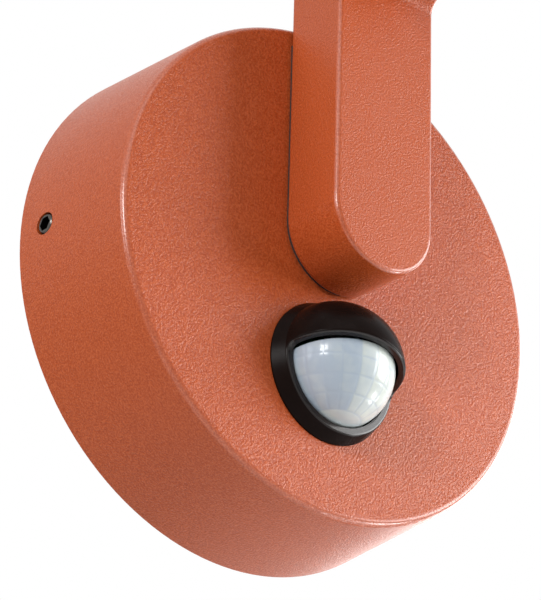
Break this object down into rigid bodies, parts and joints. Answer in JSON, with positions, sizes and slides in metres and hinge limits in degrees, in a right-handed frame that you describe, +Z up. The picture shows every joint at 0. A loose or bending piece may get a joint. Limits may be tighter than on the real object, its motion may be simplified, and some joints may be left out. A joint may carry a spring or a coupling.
{
  "type": "motion sensor",
  "caption": "Round wall-mounted base of an outdoor light with a hooded infrared motion sensor in its face and a flat arm that bends forward to carry a lamp head.",
  "frame": {"origin": "centre of the base's rear rim, on the wall plane and midway between the wall bracket's screw slots", "axes": "+Z up the wall, -Y straight out from the wall towards the sensor and the arm, +X to the right seen from the front"},
  "size_m": [0.12, 0.0708, 0.144],
  "materials": {
    "base_coat": "terracotta powder coat with a fine sand texture, satin",
    "arm_coat": "terracotta powder coat with a fine sand texture, satin",
    "hood_black": "smooth black moulding, satin",
    "lens_milk": "milky polyethylene, soft gloss",
    "black_screw": "black oxide",
    "zinc_plate": "zinc-plated sheet, dull",
    "zinc_screw": "bright zinc",
    "brass_screw": "plain brass",
    "spring_steel": "phosphated spring steel",
    "rubber_seal": "matt sealing rubber",
    "grommet_rubber": "matt moulded rubber",
    "carrier_nylon": "natural nylon",
    "board_resin": "solder-resist over glass fibre",
    "can_nickel": "nickel-plated can",
    "header_black": "moulded black strip with plated pins",
    "module_black": "potted black case",
    "relay_blue": "moulded blue case",
    "film_yellow": "moulded yellow case",
    "sleeve_dark": "shrunk dark sleeve, aluminium top",
    "varistor_blue": "dipped epoxy",
    "fuse_brown": "moulded brown cap",
    "terminal_grey": "moulded grey polyamide",
    "trimmer_blue": "moulded blue",
    "dial_white": "moulded white"
  },
  "bodies": {
    "base": {"drum_housing": "base_coat", "wall_gasket": "rubber_seal", "wall_bracket": "zinc_plate", "grub_screws": "black_screw", "cable_grommet": "grommet_rubber", "earth_screw": "brass_screw", "arm": "arm_coat", "arm_gasket": "rubber_seal", "arm_screws": "zinc_screw", "sensor_carrier": "carrier_nylon", "carrier_screws": "zinc_screw", "sensor_board": "board_resin", "pyro_sensor": "can_nickel", "link_header": "header_black", "control_board": "board_resin", "board_screws": "zinc_screw", "power_module": "module_black", "relay": "relay_blue", "film_capacitor": "film_yellow", "electrolytic_capacitor": "sleeve_dark", "varistor": "varistor_blue", "fuse": "fuse_brown", "terminal_block": "terminal_grey", "lamp_terminal": "terminal_grey", "terminal_screws": "zinc_screw", "trimmer_housings": "trimmer_blue"},
    "sensor_head": {"sensor_hood": "hood_black", "lens_dome": "lens_milk", "hood_clip": "spring_steel", "sensor_o_ring": "rubber_seal"},
    "time_dial": {"time_dial": "dial_white"},
    "lux_dial": {"lux_dial": "dial_white"}
  },
  "joints": [
    {"name": "hood_turn", "type": "hinge", "parent": "base", "child": "sensor_head", "pos_m": [0, -0.0338, -0.025], "axis": [0, -1, 0], "range_deg": [-60, 60]},
    {"name": "time_dial_turn", "type": "hinge", "parent": "base", "child": "time_dial", "pos_m": [0.012, -0.0172, -0.014], "axis": [0, 1, 0], "range_deg": [-135, 135]},
    {"name": "lux_dial_turn", "type": "hinge", "parent": "base", "child": "lux_dial", "pos_m": [0.026, -0.0172, -0.014], "axis": [0, 1, 0], "range_deg": [-135, 135]}
  ]
}
